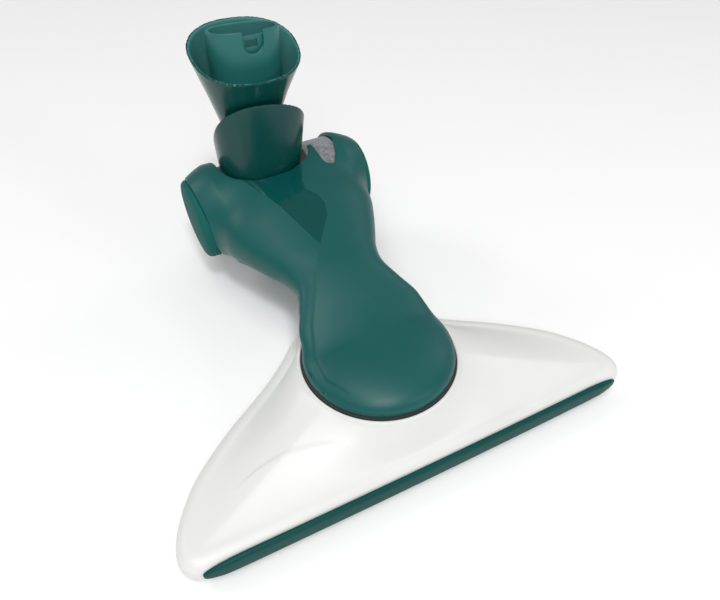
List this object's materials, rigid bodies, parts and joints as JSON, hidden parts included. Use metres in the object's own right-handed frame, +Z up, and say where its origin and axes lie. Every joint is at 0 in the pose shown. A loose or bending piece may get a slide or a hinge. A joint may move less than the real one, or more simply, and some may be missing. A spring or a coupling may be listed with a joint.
{
  "type": "surface cleaner head",
  "caption": "Wide triangular floor suction head with a swivelling waisted neck, a tilting hinge drum, an oval wand socket, front bumper, brush strips and rollers.",
  "frame": {"origin": "centre of the bounding box's footprint, on the floor under the rollers", "axes": "+Z up, +Y from the bumper edge towards the hinge and wand socket, +X to the right along the bumper edge when looking along +Y; millimetre sizes stored in metres"},
  "size_m": [0.3, 0.2619, 0.1861],
  "materials": {
    "white_shell": "semi-gloss white moulded plastic",
    "green_strip": "satin dark green bumper",
    "sole_steel": "brushed stainless sheet",
    "grey_moulding": "matte dark grey moulding",
    "bristle": "dense nylon bristle",
    "seal_rubber": "matte dark grey rubber",
    "slide_plastic": "low-friction natural plastic",
    "zinc_screw": "plated steel screw",
    "green_fine": "finely grained dark green plastic",
    "green_gloss": "polished dark green plastic",
    "felt_grey": "mottled grey short pile",
    "axle_steel": "ground steel pin",
    "tread": "soft grey-black tread"
  },
  "bodies": {
    "base": {"base_cover": "white_shell", "front_bumper": "green_strip", "sole_plate": "sole_steel", "base_chassis": "grey_moulding", "suction_channel": "grey_moulding", "swivel_duct": "grey_moulding", "brush_front": "bristle", "brush_rear": "bristle", "end_lips": "seal_rubber", "bearing_ring": "slide_plastic", "swivel_seal": "seal_rubber", "turntable_gasket": "seal_rubber", "base_screws": "zinc_screw", "axle_front_left": "axle_steel", "axle_front_right": "axle_steel", "axle_rear_left": "axle_steel", "axle_rear_right": "axle_steel"},
    "neck": {"neck_upper": "green_fine", "neck_lower": "green_fine", "neck_panel": "green_gloss", "neck_spigot": "slide_plastic", "neck_hose": "seal_rubber", "hose_bulkhead": "grey_moulding", "cap_left": "green_fine", "cap_right": "green_fine", "neck_screws": "zinc_screw"},
    "connector": {"hinge_drum": "grey_moulding", "drum_felt": "felt_grey", "collar_shield": "green_gloss", "connector_cup": "green_gloss", "connector_pipe": "green_fine", "latch_plate": "green_fine"},
    "roller_front_left": {"roller_front_left": "tread"},
    "roller_front_right": {"roller_front_right": "tread"},
    "roller_rear_left": {"roller_rear_left": "tread"},
    "roller_rear_right": {"roller_rear_right": "tread"}
  },
  "joints": [
    {"name": "neck_swivel", "type": "hinge", "parent": "base", "child": "neck", "pos_m": [0, -0.05955, 0.03], "axis": [0, 0, 1], "range_deg": [-90, 90]},
    {"name": "connector_tilt", "type": "hinge", "parent": "neck", "child": "connector", "pos_m": [0, 0.09545, 0.0584], "axis": [1, 0, 0], "range_deg": [-80, 0]},
    {"name": "roll_front_left", "type": "hinge", "parent": "base", "child": "roller_front_left", "pos_m": [-0.108, -0.09755, 0.0075], "axis": [1, 0, 0], "continuous": true},
    {"name": "roll_front_right", "type": "hinge", "parent": "base", "child": "roller_front_right", "pos_m": [0.108, -0.09755, 0.0075], "axis": [1, 0, 0], "continuous": true},
    {"name": "roll_rear_left", "type": "hinge", "parent": "base", "child": "roller_rear_left", "pos_m": [-0.023, -0.00905, 0.0075], "axis": [1, 0, 0], "continuous": true},
    {"name": "roll_rear_right", "type": "hinge", "parent": "base", "child": "roller_rear_right", "pos_m": [0.023, -0.00905, 0.0075], "axis": [1, 0, 0], "continuous": true}
  ]
}
